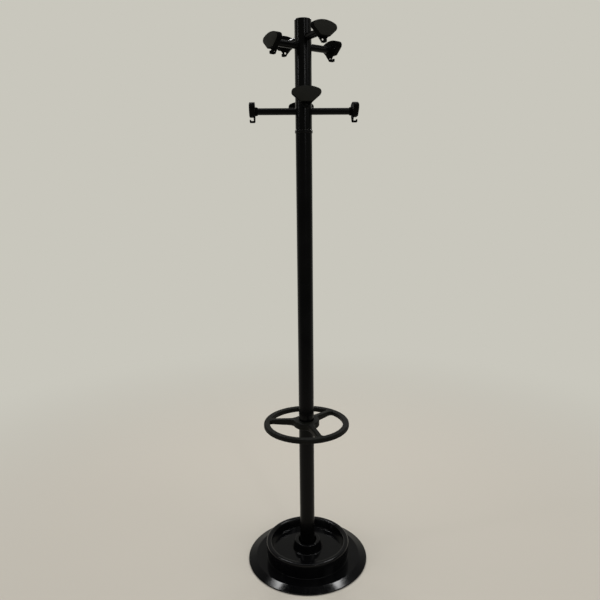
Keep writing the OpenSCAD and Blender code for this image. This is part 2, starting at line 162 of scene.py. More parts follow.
def rounded(path: Sequence[Corner], steps: int = 8) -> Array:
    """A closed outline with rounded corners.

    At a corner q with unit directions u and w to its neighbours and half angle h between them,
    the arc's centre is q + (u + w) / |u + w| * r / sin h, and it touches the sides at
    q + u r / tan h and q + w r / tan h.

    Args:
        path: Corners as (x, y, rounding radius).
        steps: Steps in each rounding.

    Returns:
        The outline, as (n, 2), without repeated points.
    """
    corners = np.asarray(path, float)
    here, radius = corners[:, :2], corners[:, 2]
    back = unit(np.roll(here, 1, axis=0) - here)
    ahead = unit(np.roll(here, -1, axis=0) - here)
    half = np.arccos(np.clip((back * ahead).sum(axis=1), -1, 1)) / 2
    centre = here + unit(back + ahead) * (radius / np.sin(half))[:, None]
    reach = (radius / np.tan(half))[:, None]
    first, last = here + back * reach - centre, here + ahead * reach - centre
    start = np.arctan2(first[:, 1], first[:, 0])
    turn = (np.arctan2(last[:, 1], last[:, 0]) - start + math.pi) % (2 * math.pi) - math.pi
    a = start[:, None] + turn[:, None] * np.linspace(0, 1, steps + 1)
    points = centre[:, None] + radius[:, None, None] * np.stack([np.cos(a), np.sin(a)], axis=-1)
    points = points.reshape(-1, 2)
    return points[np.linalg.norm(points - np.roll(points, 1, axis=0), axis=1) > SAME]


def grid(points: Array, close_rows: bool = False) -> Surface:
    """Quads over a grid of points whose columns run round and close on themselves.

    Args:
        points: The grid, as (rows, columns, 3).
        close_rows: Whether the last row also meets the first.

    Returns:
        The surface.
    """
    rows, columns = points.shape[:2]
    index = np.arange(rows * columns).reshape(rows, columns)
    index = np.hstack([index, index[:, :1]])
    if close_rows:
        index = np.vstack([index, index[:1]])
    corners = [index[:-1, :-1], index[1:, :-1], index[1:, 1:], index[:-1, 1:]]
    return Surface(points.reshape(-1, 3), (np.stack(corners, axis=-1).reshape(-1, 4),))


def guarded(profile: Array, closed: bool) -> Array:
    """A profile with two more points on each long straight side, a guard's width from its ends.

    They keep the turn of the normals at a rounding within that width, so that a flat or a
    straight wall reflects as one.

    Args:
        profile: Points, as (n, 2).
        closed: Whether the last point also meets the first.

    Returns:
        The profile with its guards.
    """
    ahead = np.roll(profile, -1, axis=0) - profile
    length = np.linalg.norm(ahead, axis=1)
    step = ahead * (GUARD / np.maximum(length, GUARD))[:, None]
    long = length > LONG
    long[-1] &= closed
    three = np.stack([profile, profile + step, profile + ahead - step], axis=1)
    return three[np.stack([np.ones_like(long), long, long], axis=1)]


def revolved(profile: Array, segments: int = 128, axis: Axis = Axis.Z) -> Surface:
    """A profile turned once round an axis: p(u, v) = (r(u) cos v, r(u) sin v, z(u)).

    Args:
        profile: Points (r, z). The profile is closed, or starts and ends on the axis.
        segments: Steps round the axis.
        axis: Which way z points in the stand.

    Returns:
        The closed surface.
    """
    on_axis = bool(profile[0, 0] == 0 and profile[-1, 0] == 0)
    profile = guarded(profile, closed=not on_axis)
    v = np.linspace(0, 2 * math.pi, segments, endpoint=False)
    r, z = profile[:, :1], profile[:, 1:]
    points = np.stack([r * np.cos(v), r * np.sin(v), np.broadcast_to(z, (len(r), segments))], -1)
    return grid(points[..., list(axis.value)], close_rows=not on_axis)


@dataclass(frozen=True)
class Rim:
    """A closed edge of a plate. The outline keeps the plate's material on its left."""

    outline: Array
    rounding: float

    def normals(self) -> Array:
        """Unit normals out of the material: the mean way of a point's two sides, turned right.

        Returns:
            The normals, as (n, 2).
        """
        ahead = unit(np.roll(self.outline, -1, axis=0) - self.outline)
        along = unit(ahead + np.roll(ahead, 1, axis=0))
        return np.stack([along[:, 1], -along[:, 0]], axis=1)


def plate(rims: Sequence[Rim], height: float, axis: Axis = Axis.Z, steps: int = 5,
          spacing: float = 0.0) -> Surface:
    """A flat plate with rounded edges, centred on its middle plane.

    Round each rim runs a profile: from the flat top, moved in by r, it follows
    (r - r cos a, h/2 - r + r sin a) as a falls from 90 to 0 degrees, and the same mirrored to
    the flat bottom. One more row inside it, and the wall's guards where there is room for them,
    keep the shading of flats and walls straight. The flats are filled with triangles.

    Args:
        rims: The outer rim, and one for each hole.
        height: The plate's thickness.
        axis: Which way the thickness points in the stand.
        steps: Steps in each rounding.
        spacing: Distance between more points spread over the flats, or 0 for none.

    Returns:
        The closed surface.
    """
    quarter = np.radians(np.linspace(90, 0, steps + 1))
    surfaces: list[Surface] = []
    inner: list[Array] = []
    edges: list[Array] = []
    start = 0
    for rim in rims:
        r = rim.rounding
        edge = np.stack([r - r * np.cos(quarter), height / 2 - r + r * np.sin(quarter)], axis=1)
        edge = np.vstack([(r + GUARD, height / 2), edge])
        inset, level = guarded(np.vstack([edge, edge[::-1] * (1, -1)]), closed=False).T
        flat = rim.outline[None] - rim.normals()[None] * inset[:, None, None]
        tall = np.broadcast_to(level[:, None, None], flat.shape[:2] + (1,))
        surfaces.append(grid(np.concatenate([flat, tall], axis=-1)))
        count = len(rim.outline)
        ring = np.arange(count)
        inner.append(flat[0])
        edges.append(np.stack([ring, np.roll(ring, -1)], axis=1) + start)
        start += count
    edge, rim_points = np.vstack(edges), np.vstack(inner)
    known = np.vstack([rim_points, spread(rim_points, edge, spacing)]) if spacing else rim_points
    filled = delaunay_2d_cdt(known.tolist(), edge.tolist(), [], FILL_INSIDE, SAME)
    flat, faces = np.array(filled[0]), np.array(filled[2])
    faces = faces[inside(flat[faces].mean(axis=1), rim_points[edge])]
    for level in (height / 2, -height / 2):
        points = np.column_stack([flat, np.full(len(flat), level)])
        surfaces.append(Surface(points, (faces,)))
    whole = joined(surfaces)
    return Surface(whole.points[:, list(axis.value)], whole.faces)


def spread(rim_points: Array, edge: Array, spacing: float) -> Array:
    """Points of an even square grid that lie inside closed loops and clear of their corners.

    Args:
        rim_points: The loops' points, as (n, 2).
        edge: The loops' edges, as pairs of point numbers.
        spacing: The grid's step.

    Returns:
        The points, as (m, 2).
    """
    low, high = rim_points.min(axis=0), rim_points.max(axis=0)
    x, y = (np.arange(a + spacing / 2, b, spacing) for a, b in zip(low, high))
    points = np.stack(np.meshgrid(x, y, indexing="ij"), axis=-1).reshape(-1, 2)
    points = points[inside(points, rim_points[edge])]
    away = np.linalg.norm(points[:, None] - rim_points[None], axis=-1).min(axis=1)
    return points[away > spacing / 2]


def inside(points: Array, edges: Array) -> Array:
    """Which points lie inside closed loops: a ray along +x crosses an odd number of their edges.

    Args:
        points: The points, as (n, 2).
        edges: The loops' edges, as (m, 2 ends, 2).

    Returns:
        One truth value a point.
    """
    x, y = points[:, :1], points[:, 1:]
    (x0, y0), (x1, y1) = edges[:, 0].T, edges[:, 1].T
    spans = (y0 > y) != (y1 > y)
    rise = np.where(y1 == y0, 1.0, y1 - y0)
    return (spans & (x < x0 + (x1 - x0) * (y - y0) / rise)).sum(axis=1) % 2 == 1


# ---- Meshes ----


def linked(name: str, data: bpy.types.ID) -> Object:
    """Makes an object in the scene, at the origin.

    Args:
        name: The object's name.
        data: Its mesh, lamp or camera.

    Returns:
        The object.
    """
    obj = bpy.data.objects.new(name, data)
    bpy.context.scene.collection.objects.link(obj)
    return obj


def read(items: bpy.types.bpy_prop_collection, name: str) -> Array:
    """A named vector of each vertex or face, as (n, 3)."""
    items.foreach_get(name, values := np.empty(len(items) * 3))
    return values.reshape(-1, 3)


def mesh_object(name: str, surface: Surface) -> Object:
    """Makes a mesh object in metres, closed at seams and poles, facing outwards.

    Args:
        name: The object's name.
        surface: The surface, in millimetres.

    Returns:
        The object, at the origin.
    """
    mesh = bpy.data.meshes.new(name)
    faces = [face for block in surface.faces for face in block.tolist()]
    mesh.from_pydata((surface.points * MM).tolist(), [], faces)
    work = bmesh.new()
    work.from_mesh(mesh)
    bmesh.ops.remove_doubles(work, verts=work.verts, dist=WELD)
    bmesh.ops.dissolve_degenerate(work, dist=SLIVER, edges=work.edges)
    bmesh.ops.recalc_face_normals(work, faces=work.faces)
    work.to_mesh(mesh)
    work.free()
    smooth(mesh)
    return linked(name, mesh)


def smooth(mesh: bpy.types.Mesh) -> None:
    """Shades a mesh smooth, apart from its sharp edges.

    Args:
        mesh: The mesh.
    """
    mesh.polygons.foreach_set("use_smooth", np.ones(len(mesh.polygons), bool))
    mesh.set_sharp_from_angle(angle=SHARP_ANGLE)
    mesh.update()


def combined(name: str, base: Surface, added: Sequence[Surface],
             cut: Sequence[Surface]) -> Object:
    """One closed mesh from several closed surfaces.

    Args:
        name: The object's name.
        base: The surface to start from.
        added: Surfaces that are united with it.
        cut: Surfaces that are then taken away.

    Returns:
        The object, at the origin, with no modifiers left.
    """
    obj = mesh_object(name, base)
    for operation, surface in [("UNION", s) for s in added] + [("DIFFERENCE", s) for s in cut]:
        modifier = obj.modifiers.new(operation.lower(), "BOOLEAN")
        modifier.operation, modifier.solver = operation, "EXACT"
        modifier.object = mesh_object(f"{name}_tool", surface)
    tools = [modifier.object for modifier in obj.modifiers]
    depsgraph = bpy.context.evaluated_depsgraph_get()
    mesh = bpy.data.meshes.new_from_object(obj.evaluated_get(depsgraph))
    obj.modifiers.clear()
    obj.data = mesh
    for tool in tools:
        bpy.data.objects.remove(tool)
    smooth(mesh)
    return obj


def placed_copy(obj: Object, name: str, matrix: Array, shift: Sequence[float]) -> Object:
    """A copy of an object whose points p are at matrix p + shift, with the object at the origin.

    Args:
        obj: The object to copy.
        name: The copy's name.
        matrix: A turn, as a 3 by 3 matrix.
        shift: Where the object's own origin goes, in millimetres.

    Returns:
        The copy.
    """
    mesh = obj.data.copy()
    mesh.name = name
    points = read(mesh.vertices, "co") @ np.asarray(matrix).T + np.asarray(shift) * MM
    mesh.vertices.foreach_set("co", points.ravel())
    mesh.update()
    return linked(name, mesh)


# ---- Finishes ----


def linear(colour: str) -> tuple[float, float, float, float]:
    """Turns an sRGB colour to linear light.

    Args:
        colour: The colour as hex, such as "#1c1c1e".

    Returns:
        Red, green and blue from 0 to 1, and 1.
    """
    parts = [int(colour[i:i + 2], 16) / 255 for i in (1, 3, 5)]
    r, g, b = (c / 12.92 if c <= 0.04045 else ((c + 0.055) / 1.055) ** 2.4 for c in parts)
    return r, g, b, 1.0


def add_node(tree: Tree, kind: str, values: dict[str | int, object] | None = None,
             links: dict[str | int, Source] | None = None, **settings: object) -> bpy.types.Node:
    """Adds a node with its settings, input values and links.

    Args:
        tree: The node tree.
        kind: The shader node's type, such as "TexNoise".
        values: Values of inputs, by name or number.
        links: What goes into inputs, by name or number: an output socket, or a node, of which
            the first output is meant.
        **settings: Properties of the node itself.

    Returns:
        The node.
    """
    node = tree.nodes.new(f"ShaderNode{kind}")
    for name, value in settings.items():
        setattr(node, name, value)
    for name, value in (values or {}).items():
        node.inputs[name].default_value = value
    for name, source in (links or {}).items():
        output = source.outputs[0] if isinstance(source, bpy.types.Node) else source
        tree.links.new(output, node.inputs[name])
    return node


def bare_tree(owner: bpy.types.Material | bpy.types.World) -> Tree:
    """Gives a material or a world an empty node tree.

    Args:
        owner: The material or world.

    Returns:
        The tree.
    """
    owner.use_nodes = True
    owner.node_tree.nodes.clear()
    return owner.node_tree


# The large pattern of a finish: the values of it between which the roughness and the colour
# change, and how many finer patterns lie in it.
ROUGH_RANGE = (0.35, 0.65)
WORN_RANGE = (0.35, 0.7)
PATCH_DETAIL = 4.0


@dataclass(frozen=True)
class Finish:
    """A real material and how its surface was made.

    A large, soft pattern varies the roughness between two values and the colour between the new
    and the worn one, as handling does, and a fine one raises the surface by a small height.
    Pattern sizes are in millimetres.
    """

    name: str
    slot: str
    colour: str
    worn_colour: str
    roughness: tuple[float, float]
    patch_size: float
    ior: float = 1.5
    metallic: float = 0.0
    specular: float = 0.5
    grain_size: float = 1.0
    grain_height: float = 0.02
    grain_detail: float = 2.0
    stretch: Triple = (1.0, 1.0, 1.0)

    def material(self) -> bpy.types.Material:
        """The finish as a node material, made once.

        Returns:
            The material.
        """
        found = bpy.data.materials.get(self.name)
        if found is not None:
            return found
        material = bpy.data.materials.new(self.name)
        tree = bare_tree(material)
        place = add_node(tree, "TexCoord").outputs["Object"]
        stretched = add_node(tree, "Mapping", {"Scale": self.stretch}, {"Vector": place})
        patches, grain = (
            add_node(tree, "TexNoise", {"Scale": 1 / (size * MM), "Detail": detail},
                     {"Vector": stretched})
            for size, detail in ((self.patch_size, PATCH_DETAIL),
                                 (self.grain_size, self.grain_detail)))
        rough = add_node(
            tree, "MapRange", {"From Min": ROUGH_RANGE[0], "From Max": ROUGH_RANGE[1],
                               "To Min": self.roughness[0], "To Max": self.roughness[1]},
            {"Value": patches})
        colour = add_node(tree, "ValToRGB", links={"Fac": patches})
        for element, position, tone in zip(colour.color_ramp.elements, WORN_RANGE,
                                           (self.colour, self.worn_colour)):
            element.position, element.color = position, linear(tone)
        bump = add_node(tree, "Bump", {"Strength": 1.0, "Distance": self.grain_height * MM},
                        {"Height": grain})
        shader = add_node(
            tree, "BsdfPrincipled", {"IOR": self.ior, "Metallic": self.metallic,
                                     "Specular IOR Level": self.specular},
            {"Base Color": colour, "Roughness": rough, "Normal": bump})
        add_node(tree, "OutputMaterial", links={"Surface": shader})
        return material

    def dress(self, obj: Object) -> None:
        """Puts the finish on an object, in its only material slot."""
        obj.data.materials.clear()
        obj.data.materials.append(self.material())

    def dress_part(self, obj: Object, part: Array) -> None:
        """Puts the finish on some faces of a dressed object, in a slot of its own.

        Args:
            obj: The object.
            part: One truth value a face.
        """
        obj.data.materials.append(self.material())
        slots = np.where(part, len(obj.data.materials) - 1, 0).astype(np.int32)
        obj.data.polygons.foreach_set("material_index", slots)


# Black ABS from a polished mould: a clear reflection, broken only by faint handling marks.
POLISHED_ABS = Finish(
    "abs_moulded_polished", "gloss_abs", "#050506", "#09090a", ior=1.52, specular=0.2,
    roughness=(0.07, 0.14), patch_size=90, grain_size=14, grain_height=0.03, grain_detail=1.0)
# Powder-coated steel tube: satin, with the slight orange peel that cured powder has. Real peel
# is 1 to 2 mm across; it is drawn at 3 mm so that it still shows.
POWDER_COAT = Finish(
    "steel_tube_powder_coated", "painted_tube", "#050505", "#090909", specular=0.11,
    roughness=(0.2, 0.27), patch_size=70, grain_size=3, grain_height=0.025)
# Glass-filled nylon as a smooth mould leaves it: black and dull, with the faintest sheen.
BLACK_NYLON = Finish(
    "nylon_moulded_black", "moulded_nylon", "#040403", "#070706", ior=1.53, specular=0.06,
    roughness=(0.74, 0.84), patch_size=20)
# The fans' faces, from the spark-eroded side of the mould: dull, dark grey where light falls.
GRAINED_NYLON = Finish(
    "nylon_moulded_grained", "moulded_nylon", "#191914", "#1e1e18", ior=1.53, specular=0.15,
    roughness=(0.5, 0.62), patch_size=25, grain_size=0.8, grain_height=0.06)
# The same nylon in a thicker section, from a mould with a finer grain: dull black.
RING_NYLON = Finish(
    "nylon_ring_moulded_grained", "ring_nylon", "#0e0e0b", "#13130f", ior=1.53, specular=0.1,
    roughness=(0.5, 0.62), patch_size=30, grain_size=0.8, grain_height=0.06)
# Nylon of the collar and the cap, turned and polished: as black as the tubes, with small sharp
# lights on its edges.
SMOOTH_NYLON = Finish(
    "nylon_turned_smooth", "collar_nylon", "#050505", "#090909", ior=1.53, specular=0.16,
    roughness=(0.12, 0.18), patch_size=20, grain_height=0.01)
# Pressed steel under one thin coat of black paint.
PAINTED_SHEET = Finish(
    "steel_sheet_painted", "painted_plate", "#161617", "#1e1e1f", roughness=(0.4, 0.55),
    patch_size=40, grain_size=2, grain_height=0.04)
# Grey iron as it leaves the sand: rough and dark, with a rusty bloom in places.
SAND_CAST_IRON = Finish(
    "iron_sand_cast", "cast_iron", "#3b3a38", "#4a3c31", metallic=0.7, roughness=(0.6, 0.8),
    patch_size=35, grain_size=1.5, grain_height=0.3, grain_detail=5.0)
# Soft black rubber pads, pressed and dull.
PRESSED_RUBBER = Finish(
    "rubber_pressed", "rubber", "#151515", "#1d1d1c", ior=1.52, specular=0.25,
    roughness=(0.7, 0.85), patch_size=10, grain_size=0.5, grain_height=0.05)
# Turned steel with bright zinc: the tool's fine rings show along the axis.
TURNED_ZINC = Finish(
    "steel_turned_zinc_plated", "zinc_steel", "#b4b7b9", "#a0a4a8", metallic=1.0,
    roughness=(0.25, 0.38), patch_size=12, grain_size=1.2, stretch=(0.2, 0.2, 3.0))
# Natural acetal of the bearing's bush: milky white and slightly waxy.
TURNED_ACETAL = Finish(
    "acetal_turned", "acetal", "#dcdbd4", "#cfcdc4", ior=1.48, roughness=(0.35, 0.45),
    patch_size=15)

CAD_FINISHES: dict[str, Finish] = {
    "bottom_plate": PAINTED_SHEET, "ballast": SAND_CAST_IRON, "foot_pads": PRESSED_RUBBER,
    **dict.fromkeys(("foot_bolt", "foot_washer", "foot_insert", "ring_socket_insert",
                     "ring_stud_insert", "mid_socket_insert", "mid_stud_insert",
                     "swivel_washer", "swivel_screw"), TURNED_ZINC),
    "head_bush": TURNED_ACETAL, "head_tube": POWDER_COAT,
}


def settle(obj: Object, finish: Finish, body: Body, *nodes: str) -> None:
    """Dresses a new piece, lets it ride on its body and lets it stand for its CAD nodes.

    Args:
        obj: The piece.
        finish: Its finish.
        body: The body that it moves with.
        *nodes: The CAD nodes that it stands for.
    """
    finish.dress(obj)
    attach(obj, body.value)
    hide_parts(*nodes)
    LOG.info("%s: %d faces, on %s, for %s", obj.name, len(obj.data.polygons), body.value,
             ", ".join(nodes))


# ---- Sub-assemblies ----


@dataclass
class Base:
    """The base: one glossy cover with a sloping flange, a drum, a drip tray and a boss."""

    outer_r: float = 205.0
    edge_z: float = 5.0
    edge_wall: float = 2.5
    slope_r: float = 178.0
    flange_z: float = 11.5
    rib_r: float = 187.5
    rib_w: float = 2.5
    rib_lift: float = 0.6
    drum_r: float = 142.5
    drum_draft: float = 1.5
    rim_z: float = 65.0
    rim_extra: float = 1.0
    rim_in_r: float = 126.0
    floor_r: float = 115.0
    floor_z: float = 36.0
    step: float = 1.6
    boss_foot_r: float = 52.0
    boss_top_r: float = 42.5
    well_r: float = 31.5
    well_z: float = 35.5
    bolt_hole_r: float = 5.05
    wall: float = 3.0
    floor_gap: float = 2.0

    def section(self) -> Array:
        """The cover's closed half section: its top, from the edge to the well, and its underside.

        Returns:
            The section, as (n, 2) of (r, z).
        """
        wall, slope = self.wall, (self.flange_z - self.edge_z) / (self.outer_r - self.slope_r)
        rib_out, rib_z = self.rib_r + self.rib_w, self.floor_gap + self.rib_lift
        edge_in, crown_z = self.outer_r - self.edge_wall, self.rim_z - wall - self.rim_extra
        under_rib, under_edge = (self.edge_z + (self.outer_r - r) * slope - self.edge_wall
                                 for r in (rib_out, edge_in))
        top: list[Corner] = [
            (self.outer_r, self.floor_gap, 0.8), (self.outer_r, self.edge_z, 1.2),
            (self.slope_r, self.flange_z, 6), (self.drum_r - self.drum_draft, self.flange_z, 1),
            (self.drum_r, self.rim_z, 5), (self.rim_in_r, self.rim_z, 6),
            (self.floor_r + self.step, self.floor_z + self.step, 0.5),
            (self.floor_r, self.floor_z + self.step, 0.5),
            (self.floor_r - self.step / 2, self.floor_z, 0.5),
            (self.boss_foot_r, self.floor_z, 2.5), (self.boss_top_r, self.rim_z, 2.5),
            (self.well_r, self.rim_z, 2), (self.well_r, self.well_z, 1),
            (self.bolt_hole_r, self.well_z, 0.3)]
        under: list[Corner] = [
            (self.bolt_hole_r, self.well_z - wall, 0.3),
            (self.well_r + wall, self.well_z - wall, 0.5),
            (self.well_r + wall, self.rim_z - wall, 0.5),
            (self.boss_top_r - wall, self.rim_z - wall, 0.6),
            (self.boss_foot_r - wall, self.floor_z - wall, 0.5),
            (self.floor_r + wall / 2, self.floor_z - wall, 1.5),
            (self.rim_in_r + wall, crown_z, 1.5), (self.drum_r - wall, crown_z, 1.5),
            (self.drum_r - self.drum_draft - wall, self.flange_z - wall, 1),
            (self.rib_r, self.flange_z - wall, 0.5), (self.rib_r, rib_z, 0.3),
            (rib_out, rib_z, 0.3), (rib_out, under_rib, 0.5), (edge_in, under_edge, 0.4),
            (edge_in, self.floor_gap, 0.3)]
        return rounded(top + under)

    def build(self) -> None:
        """Makes the cover."""
        cover = mesh_object("base_cover_moulding", revolved(self.section(), segments=256))
        settle(cover, POLISHED_ABS, Body.STAND, "base_cover")


@dataclass
class Pole:
    """The three painted tubes below the head."""

    radius: float = 25.0
    wall: float = 1.5
    edge: float = 0.5
    bore_edge: float = 0.3

    def tube(self, node: str) -> None:
        """Makes a tube with rounded ends, as tall as its CAD node.

        Args:
            node: The CAD node.
        """
        z0, z1 = span(node)
        inner = self.radius - self.wall
        section = rounded([(self.radius, z0, self.edge), (self.radius, z1, self.edge),
                           (inner, z1, self.bore_edge), (inner, z0, self.bore_edge)], steps=4)
        tube = mesh_object(f"{node}_painted", revolved(section))
        settle(tube, POWDER_COAT, Body.STAND, node)

    def build(self) -> None:
        """Makes the three tubes."""
        for node in ("lower_tube", "middle_tube", "upper_tube"):
            self.tube(node)


@dataclass
class UmbrellaRing:
    """A moulded ring like a small steering wheel, clamped between two tubes."""

    outer_r: float = 142.0
    band: float = 20.0
    height: float = 16.0
    foot_drop: float = 1.0
    hub_height: float = 22.0
    hub_r: float = 43.0
    hole_r: float = 8.05
    spoke_w: float = 18.0
    spoke_turn: float = 50.0
    spokes: int = 3
    hub_fillet: float = 24.0
    band_fillet: float = 7.0
    band_edge: float = 5.0
    gap_edge: float = 4.0
    hole_edge: float = 0.4
    fillet_steps: int = 14
    band_steps: int = 240
    hole_steps: int = 48
    fill_step: float = 4.0

    def gap(self, turn: float) -> Array:
        """The clockwise outline of the gap after a spoke, in arcs that touch.

        On a spoke along +X of half width w, the fillet of radius f at a circle of radius R has
        its centre at (sqrt(d^2 - (w + f)^2), w + f), where d is R + f at the hub and R - f at
        the band.

        Args:
            turn: The spoke's direction in degrees.

        Returns:
            The outline, as (n, 2).
        """
        w, inner, steps = self.spoke_w / 2, self.outer_r - self.band, self.fillet_steps
        share = 360 / self.spokes
        hub_y, band_y = w + self.hub_fillet, w + self.band_fillet
        hub_x = math.sqrt((self.hub_r + self.hub_fillet) ** 2 - hub_y**2)
        band_x = math.sqrt((inner - self.band_fillet) ** 2 - band_y**2)
        hub_a = math.degrees(math.atan2(hub_y, hub_x))
        band_a = math.degrees(math.atan2(band_y, band_x))
        side = np.vstack([arc((hub_x, hub_y), self.hub_fillet, 180 + hub_a, 270, steps),
                          arc((band_x, band_y), self.band_fillet, -90, band_a, steps)])
        far = side[::-1] * (1, -1) @ turn_z(share)[:2, :2].T
        outer = arc((0, 0), inner, band_a, share - band_a, self.band_steps // 4)[1:-1]
        hub = arc((0, 0), self.hub_r, share - hub_a, hub_a, self.hole_steps // 2)[1:-1]
        loop = np.vstack([side, outer, far, hub])
        return (loop @ turn_z(turn)[:2, :2].T)[::-1]

    def shaped(self, points: Array) -> Array:
        """The flat plate's points with the band's foot dropped and the hub's top raised.

        With s falling evenly from 1 at the hub to 0 at the band, a point of the upper face
        rises by s times what the hub is taller, and one of the lower face by s times the drop.
        Those between them rise in proportion.

        Args:
            points: The plate's points, centred on its middle plane.

        Returns:
            The moved points.
        """
        r, t = np.hypot(points[:, 0], points[:, 1]), points[:, 2] / self.height + 0.5
        s = 1 - np.clip((r - self.hub_r) / (self.outer_r - self.band - self.hub_r), 0, 1)
        taller = self.hub_height + self.foot_drop - self.height
        rise = s * (t * taller + (1 - t) * self.foot_drop)
        return points + rise[:, None] * (0, 0, 1)

    def build(self) -> None:
        """Makes the ring: a plate with its gaps, taller towards the hub."""
        rims = [Rim(arc((0, 0), self.outer_r, 0, 360, self.band_steps)[:-1], self.band_edge)]
        rims += [Rim(self.gap(self.spoke_turn + k * 360 / self.spokes), self.gap_edge)
                 for k in range(self.spokes)]
        rims.append(Rim(arc((0, 0), self.hole_r, 0, -360, self.hole_steps)[:-1], self.hole_edge))
        flat = plate(rims, self.height, steps=7, spacing=self.fill_step)
        foot_z, _ = span("umbrella_ring")
        points = self.shaped(flat.points) + (0, 0, foot_z + self.height / 2)
        ring = mesh_object("umbrella_ring_moulding", Surface(points, flat.faces))
        settle(ring, RING_NYLON, Body.STAND, "umbrella_ring")


@dataclass
class Hook:
    """A moulded hook: a fan for a coat, a collar for the arm, and a small hook underneath.

    Its own frame has the arm along X and the fan's back at x = 0.
    """

    fan_w: float = 82.0
    fan_top: float = 26.5
    fan_foot: float = 15.7
    foot_w: float = 37.0
    foot_r: float = 3.0
    fan_t: float = 16.5
    crown: float = 1.0
    crown_z: float = 4.0
    tip_rise: float = 9.8
    tip_r: float = 10.3
    face_edge: float = 2.6
    back_edge: float = 1.0
    arm_r: float = 10.0
    socket_r: float = 12.5
    mouth_r: float = 11.5
    root_r: float = 13.1
    socket_len: float = 9.0
    socket_root: float = 1.5
    socket_depth: float = 8.0
    core_r: float = 9.0
    bore_gap: float = 0.03
    bore_start: float = -20.0
    stem_top: float = 34.0
    stem_taper: float = 2.0
    stem_t: float = 5.0
    stem_proud: float = 1.0
    stem_edge: float = 0.7
    drop: float = 32.3
    tongue_w: float = 9.6
    tongue_spare: float = 0.1
    tongue_t: float = 5.6
    tongue_back: float = 0.4
    tongue_edge: float = 1.0
    lip_t: float = 4.2
    lip_rise: float = 3.6
    window_w: float = 8.4
    window_h: float = 6.6
    window_draft: float = 0.01
    window_edge: float = 0.4
    heel_r: float = 3.5
    arc_steps: int = 24
    edge_steps: int = 6
    face_scales: tuple[float, float, int] = (0.96, 0.0, 12)
    back_scales: tuple[float, ...] = (0.0, 0.5, 0.97)
    grain_from: float = 60.0
    grain_facing: float = 0.7

    def fan_outline(self, inset: Array) -> Array:
        """The fan's outline moved in by each inset, as (rows, columns, 2) of (y, z).

        Each half is three arcs that touch: the foot's corner, the rounded tip and the wide arc
        over the top, whose centre lies on z so that it touches the tip. Moving an outline of
        touching arcs in by e makes each radius smaller by e.

        Args:
            inset: How far to move in, one value a row.

        Returns:
            The outlines.
        """
        foot = np.array([self.foot_w / 2 - self.foot_r, self.foot_r - self.fan_foot])
        tip = np.array([self.fan_w / 2 - self.tip_r, self.tip_rise])
        apart = tip - foot
        side = math.degrees(math.atan2(apart[1], apart[0])
                            - math.acos((self.foot_r - self.tip_r) / np.linalg.norm(apart)))
        free = self.fan_top - self.tip_r
        top_z = (tip @ tip - free**2) / (2 * (self.tip_rise - free))
        lean = math.degrees(math.atan2(self.tip_rise - top_z, tip[0]))
        parts = [(foot, self.foot_r, -90, side, self.edge_steps),
                 (tip, self.tip_r, side, lean, self.arc_steps),
                 (np.array([0, top_z]), self.fan_top - top_z, lean, 90, self.arc_steps)]
        right = np.concatenate(
            [centre + (radius - inset[:, None, None]) * arc((0, 0), 1, start, stop, steps)
             for centre, radius, start, stop, steps in parts], axis=1)
        return np.concatenate([right, right[:, -2::-1] * (-1, 1)], axis=1)

    def fan(self) -> Surface:
        """The fan: its outline swept in depth, with both edges rounded and the face crowned.

        The face is the inset outline scaled by s towards its middle, raised by
        crown (1 - s^2), so that it is a low dome.

        Returns:
            The closed surface.
        """
        quarter = np.radians(np.linspace(0, 90, self.edge_steps + 1))
        rising, falling = 1 - np.cos(quarter), 1 - np.sin(quarter)
        back = self.back_edge * np.stack([falling, rising], axis=1)
        face = (0, self.fan_t) + self.face_edge * np.stack([rising, -falling], axis=1)
        inset, wall_x = guarded(np.vstack([back, face]), closed=False).T
        wall, middle = self.fan_outline(inset), np.array([0.0, self.crown_z])
        back_s, s = np.array(self.back_scales), np.linspace(*self.face_scales)
        rows = np.concatenate([middle + (wall[:1] - middle) * back_s[:, None, None], wall,
                               middle + (wall[-1:] - middle) * s[:, None, None]])
        x = np.concatenate([0 * back_s, wall_x, self.fan_t + self.crown * (1 - s**2)])
        depth = np.broadcast_to(x[:, None, None], rows.shape[:2] + (1,))
        return grid(np.concatenate([depth, rows], axis=-1))

    def socket(self) -> Surface:
        """The collar that holds the arm, turned about X, with a soft rounded mouth.

        Its root lies in the fan, and its core is smaller than the bore that is cut later.

        Returns:
            The closed surface.
        """
        section = rounded([(self.core_r, -self.socket_len, 0.4),
                           (self.mouth_r, -self.socket_len, 1.5),
                           (self.socket_r, -self.socket_len / 2, 4),
                           (self.root_r, self.socket_root, 0),
                           (self.core_r, self.socket_root, 0)])
        return revolved(section, segments=96, axis=Axis.X)

    def stem(self) -> Surface:
        """The V-shaped stem under the fan, with its arched window.

        Returns:
            The closed surface.
        """
        top, half = self.stem_top / 2, self.tongue_w / 2
        foot, floor = self.heel_r - self.drop, self.tongue_t - self.drop
        neck = top - self.stem_taper
        outer = rounded([(-half, foot, 0.5), (half, foot, 0.5), (top, -self.fan_foot, 0),
                         (neck, 0, 0), (-neck, 0, 0), (-top, -self.fan_foot, 0)])
        r = self.window_w / 2
        corner = r - self.window_draft
        arch = arc((0, floor + self.window_h - r), r, 180, 0, 20)
        window = np.vstack([arch, [(corner, floor), (-corner, floor)]])
        shape = plate([Rim(outer, self.stem_edge), Rim(window, self.window_edge)], self.stem_t,
                      axis=Axis.X)
        return shape.moved(np.eye(3), (self.stem_t / 2 - self.stem_proud, 0, 0))

